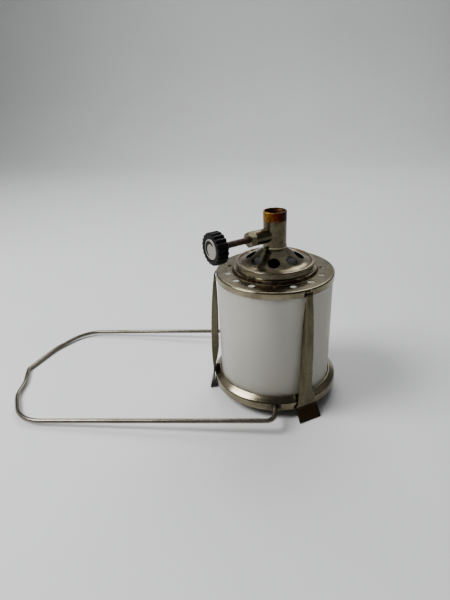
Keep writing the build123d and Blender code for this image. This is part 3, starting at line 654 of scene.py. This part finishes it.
def make_knob():
    """Knob with rounded flutes and moulded edges, drawn from the back outwards."""
    low, high = (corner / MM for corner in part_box("knob"))
    rim = (high.z - low.z) / 2
    width = KNOB_WIDTH
    depth = settings().flute_depth / MM
    count = settings().flutes
    bottom = width - DISC_RECESS
    profile = ([(KNOB_BORE, -KNOB_HUB), (4.3, -KNOB_HUB), (4.7, -2.0), (5.1, -0.3), (5.6, 0.0),
                (rim - 1.4, 0.0)]
               + arc((rim - 1.2, 1.2), 1.2, -90, 0, 5) + [(rim, 3.0), (rim, 5.0), (rim, width - 3.0)]
               + arc((rim - 1.5, width - 1.5), 1.5, 0, 90, 6)
               + [(KNOB_POCKET + 1.1, width), (KNOB_POCKET + 0.6, width - 0.1), (KNOB_POCKET, width - 0.6),
                  (KNOB_POCKET, bottom), (2.5, bottom), (2.5, bottom - 0.9), (SCREW_HOLE, bottom - 0.9),
                  (SCREW_HOLE, KNOB_GRIP), (KNOB_BORE, KNOB_GRIP)])

    def fluted(angle, r, z):
        near_rim = min(max((r - (rim - 2.2)) / 1.6, 0.0), 1.0)
        wave = 0.5 - 0.5 * math.cos(count * angle)
        return r - depth * near_rim * (1 - wave) ** 1.5

    mesh = on_knob_axis(spun("fluted_knob", profile, count * 10, fluted))
    add_piece("fluted_knob", mesh, knob_finish(), "knob", ["knob"])


def make_knob_mark():
    """Raised black crescent on the white disc that shows which way the valve opens."""
    face = KNOB_WIDTH - DISC_RECESS + DISC_THICKNESS
    middle = 5.3
    lift = 0.3
    steps = 40
    rows = []
    for k in range(steps + 1):
        share = k / steps
        angle = math.radians(40 + 210 * share)
        half = 0.2 + 1.25 * math.sin(math.pi * share) ** 0.8
        ring = [(-half, 0), (-half * 0.7, lift), (half * 0.7, lift), (half, 0), (half * 0.7, -lift),
                (-half * 0.7, -lift)]
        rows.append([((middle + r) * math.cos(angle), (middle + r) * math.sin(angle), face + z)
                     for r, z in ring])
    mesh = grid_mesh("knob_crescent", rows, closed_columns=True)
    build = bmesh.new()
    build.from_mesh(mesh)
    bmesh.ops.holes_fill(build, edges=[e for e in build.edges if e.is_boundary])
    build.to_mesh(mesh)
    build.free()
    shape_up(mesh)
    shade_smooth(mesh)
    add_piece("knob_crescent", on_knob_axis(mesh), knob_finish(), "knob")


def make_inlet_thread():
    """Ridges of the pipe thread inside the inlet, as one closed sleeve with a helical inner face."""
    pitch = settings().thread_pitch / MM
    height = settings().thread_height / MM
    top = BLOCK_HIGH.z - 0.5
    bottom = BLOCK_HIGH.z - INLET_DEPTH + 0.3
    outer = INLET_BORE - 0.02
    steps = 8 * int((top - bottom) / pitch)
    inner = [(outer - 0.05, bottom + (top - bottom) * k / steps) for k in range(steps + 1)]
    profile = inner + [(outer, top), (outer, bottom)]

    def ridged(angle, r, z):
        if r > outer - 0.04:
            return r
        phase = ((z - bottom) / pitch - angle / (2 * math.pi)) % 1.0
        fade = min((top - z) / pitch, (z - bottom) / pitch, 1.0)
        return r - height * fade * (1 - abs(2 * phase - 1)) ** 1.2

    mesh = spun("inlet_thread", profile, 96, ridged)
    add_piece("inlet_thread", mesh, block_finish(), LAMP)


def make_mantle():
    """Sock of knitted cloth, pleated where it is tied to the nozzle and soft lower down."""
    size = settings()
    belly = MANTLE_HIGH.x
    neck = NOZZLE_HIGH.x + 0.35
    low, high = MANTLE_LOW.z, MANTLE_HIGH.z
    pleats = size.pleats
    random.seed(11)
    lumps = [(random.uniform(-0.5, 0.5), random.uniform(0, 6.28), k + 2) for k in range(4)]
    profile = [(0.01, low + 0.5), (belly * 0.35, low + 0.7), (belly * 0.62, low + 2.0),
               (belly * 0.84, low + 5.2), (belly * 0.95, low + 9.5), (belly * 0.97, low + 14.0),
               (belly * 0.93, low + 18.0), (belly * 0.82, low + 22.0),
               (neck + 1.6, NOZZLE_LOW.z - 0.8), (neck + 0.5, NOZZLE_LOW.z + 1.4),
               (neck + 0.1, TIE_MIDDLE - 1.0), (neck - 0.1, TIE_MIDDLE), (neck + 0.15, TIE_MIDDLE + 1.0),
               (neck + 0.6, high)]

    def pleated(angle, r, z):
        share = min(max((z - low - 12) / (TIE_MIDDLE - low - 12), 0.0), 1.0)
        slack = sum(a * math.sin(n * angle + b) for a, b, n in lumps) * (1 - share) * min(r / belly, 1.0)
        gather = 0.55 * share * (0.5 + 0.5 * math.cos(pleats * angle))
        return r + gather + slack * 0.9

    mesh = spun("mantle_sock", profile, 168, pleated, closed=False)
    mesh = applied(mesh, ("SUBSURF", {"levels": 1, "render_levels": 1}),
                   ("SOLIDIFY", {"thickness": size.cloth / MM, "offset": 0.0}))
    shade_smooth(mesh, 60)
    piece = add_piece("mantle_sock", mesh, cloth_finish(), LAMP, ["mantle"])


def make_mantle_cord():
    """Two-ply cord tied round the mantle's neck."""
    ring = (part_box("mantle_tie")[1].x / MM) - 0.4
    rows = []
    for k in range(240):
        angle = 2 * math.pi * k / 240
        row = []
        for m in range(10):
            around = 2 * math.pi * m / 10
            ply = 0.36 + 0.08 * abs(math.cos(around + 24 * angle))
            r = ring + ply * math.cos(around)
            row.append((r * math.cos(angle), r * math.sin(angle), TIE_MIDDLE + ply * math.sin(around)))
        rows.append(row)
    mesh = grid_mesh("mantle_cord", rows, closed_rows=True, closed_columns=True)
    shape_up(mesh)
    shade_smooth(mesh)
    add_piece("mantle_cord", mesh, cloth_finish(), LAMP, ["mantle_tie"])


# --- stage ---
def make_sweep():
    """Seamless paper: flat floor that curves up into a backdrop."""
    width, front, back, curve, rise = 6000.0, -3000.0, 1150.0, 420.0, 2300.0
    line = [(front, 0.0), (-600.0, 0.0), (600.0, 0.0)]
    line += [(back + curve * math.sin(a), curve - curve * math.cos(a))
             for a in (math.radians(6 * k) for k in range(16))]
    line += [(back + curve, rise)]
    mesh = grid_mesh("paper_sweep", [[(-width / 2, y, z), (width / 2, y, z)] for y, z in line])
    mesh.transform(Matrix.Scale(MM, 4))
    mesh.materials.append(seamless_paper("paper_seamless_matt"))
    mesh.shade_smooth()
    sweep = bpy.data.objects.new("paper_sweep", mesh)
    sweep.location.z = -0.2 * MM
    bpy.context.scene.collection.objects.link(sweep)


def add_softbox(name, direction, distance, width, height, power):
    """Area light of the given size, aimed at the lantern from a direction."""
    light = bpy.data.lights.new(name, "AREA")
    light.shape = "RECTANGLE"
    light.size = width
    light.size_y = height
    light.energy = power
    lamp = bpy.data.objects.new(name, light)
    towards = Vector(direction).normalized()
    lamp.location = Vector((0, 0, 0.07)) + towards * distance
    lamp.rotation_euler = towards.to_track_quat("Z", "Y").to_euler()
    bpy.context.scene.collection.objects.link(lamp)


def make_world():
    """Pale room, dim towards the open front and brighter behind and above."""
    world = bpy.data.worlds.new("pale_room")
    world.use_nodes = True
    tree = world.node_tree
    tree.nodes.clear()
    direction = node(tree, "TexCoord", out="Generated")
    parts = node(tree, "SeparateXYZ", {"Vector": direction}).node.outputs
    back = node(tree, "MapRange", {"Value": parts["Y"], "From Min": -0.55, "From Max": 0.35,
                                   "To Min": 0.1, "To Max": 0.5}, interpolation_type="SMOOTHSTEP")
    side = node(tree, "MapRange", {"Value": parts["X"], "From Min": -0.2, "From Max": 0.7,
                                   "To Min": 1.0, "To Max": 0.55}, interpolation_type="SMOOTHSTEP")
    strength = node(tree, "Math", {0: back, 1: side}, operation="MULTIPLY")
    background = node(tree, "Background", {"Color": linear("#F3F4F6"), "Strength": strength})
    node(tree, "OutputWorld", {"Surface": background})
    bpy.context.scene.world = world


def make_camera():
    camera = bpy.data.cameras.new("camera")
    camera.lens = 27.06
    camera.sensor_width = 36.0
    holder = bpy.data.objects.new("camera", camera)
    holder.location = Vector((5.9, -343.3, 249.9)) * MM
    holder.rotation_euler = [math.radians(a) for a in (64.02, 2.444, 6.755)]
    bpy.context.scene.collection.objects.link(holder)
    bpy.context.scene.camera = holder


# --- operators ---
class LANTERN_OT_stage(bpy.types.Operator):
    """Adds the paper sweep, the softboxes, the room's light and the camera"""
    bl_idname = "lantern.stage"
    bl_label = "Stage and camera"

    def execute(self, context):
        make_camera()
        make_world()
        make_sweep()
        add_softbox("left_softbox", (-0.66, -0.2, 0.72), 1.1, 0.5, 0.6, 17.0)
        add_softbox("top_softbox", (0.05, 0.72, 0.8), 1.5, 1.2, 0.8, 16.5)
        return {"FINISHED"}


class LANTERN_OT_pressings(bpy.types.Operator):
    """Finishes the hood, shield, base plate and cone, and what is riveted to them"""
    bl_idname = "lantern.pressings"
    bl_label = "Pressings"

    def execute(self, context):
        dress(["hood", "cone_cover", "heat_shield"], pressing_finish())
        dress(["base_plate"], base_finish())
        dress(["cone_screw", "shield_rivets", "shield_spacers", "globe_locators"], hardware_finish())
        dress(["plate_rivets"], rivet_finish())
        return {"FINISHED"}


class LANTERN_OT_valve(bpy.types.Operator):
    """Finishes the valve block and what is in it, and cuts the inlet's thread"""
    bl_idname = "lantern.valve"
    bl_label = "Valve"

    def execute(self, context):
        dress(["valve_block", "gland_nut"], block_finish())
        dress(["spindle"], rust_finish())
        dress(["gas_jet", "inlet_filter"], brass_finish())
        dress(["inlet_seal", "gland_packing", "valve_disc"], rubber_finish())
        make_inlet_thread()
        return {"FINISHED"}


class LANTERN_OT_knob(bpy.types.Operator):
    """Adds the fluted knob and its mark, and finishes the disc and screw in it"""
    bl_idname = "lantern.knob"
    bl_label = "Knob"

    def execute(self, context):
        make_knob()
        make_knob_mark()
        dress(["knob_insert"], insert_finish())
        dress(["knob_screw"], hardware_finish())
        return {"FINISHED"}


class LANTERN_OT_globe(bpy.types.Operator):
    """Adds the etched glass globe"""
    bl_idname = "lantern.globe"
    bl_label = "Globe"

    def execute(self, context):
        make_globe()
        return {"FINISHED"}


class LANTERN_OT_burner(bpy.types.Operator):
    """Finishes the burner and adds the mantle and the cord that ties it"""
    bl_idname = "lantern.burner"
    bl_label = "Burner and mantle"

    def execute(self, context):
        dress(["burner_pipe", "burner_nozzle"], burner_finish())
        dress(["pipe_washer", "lock_nut"], burner_finish())
        make_mantle()
        make_mantle_cord()
        return {"FINISHED"}


class LANTERN_OT_clips(bpy.types.Operator):
    """Adds the three folded spring clips"""
    bl_idname = "lantern.clips"
    bl_label = "Clips"

    def execute(self, context):
        make_clip("clip_front", "front_clip_spring", -1.35, 33.0)
        make_clip("clip_back", "back_clip_spring", 0.4, 30.0)
        make_clip("clip_left", "left_clip_spring", 1.5, 18.0)
        return {"FINISHED"}


class LANTERN_OT_bail(bpy.types.Operator):
    """Finishes the wire bail"""
    bl_idname = "lantern.bail"
    bl_label = "Bail"

    def execute(self, context):
        dress(["bail"], wire_finish())
        return {"FINISHED"}


class LANTERN_PT_panel(bpy.types.Panel):
    """Lists the lantern's operators and settings"""
    bl_idname = "LANTERN_PT_panel"
    bl_label = "Gas lantern head"
    bl_space_type = "VIEW_3D"
    bl_region_type = "UI"
    bl_category = "Lantern"

    def draw(self, context):
        for operator in OPERATORS:
            self.layout.operator(operator.bl_idname)
        for group in (context.scene.lantern_sizes, context.scene.lantern_colours):
            for name in group.bl_rna.properties.keys():
                if name not in ("rna_type", "name"):
                    self.layout.prop(group, name)


OPERATORS = (LANTERN_OT_stage, LANTERN_OT_pressings, LANTERN_OT_valve, LANTERN_OT_knob, LANTERN_OT_globe,
             LANTERN_OT_burner, LANTERN_OT_clips, LANTERN_OT_bail)
CLASSES = (LanternSizes, LanternColours, *OPERATORS, LANTERN_PT_panel)


def register():
    for cls in CLASSES:
        bpy.utils.register_class(cls)
    bpy.types.Scene.lantern_sizes = bpy.props.PointerProperty(type=LanternSizes)
    bpy.types.Scene.lantern_colours = bpy.props.PointerProperty(type=LanternColours)


def unregister():
    del bpy.types.Scene.lantern_sizes
    del bpy.types.Scene.lantern_colours
    for cls in reversed(CLASSES):
        bpy.utils.unregister_class(cls)


def main():
    register()
    bpy.ops.lantern.stage()
    bpy.ops.lantern.pressings()
    bpy.ops.lantern.valve()
    bpy.ops.lantern.knob()
    bpy.ops.lantern.globe()
    bpy.ops.lantern.burner()
    bpy.ops.lantern.clips()
    bpy.ops.lantern.bail()


if __name__ == "__main__":
    main()
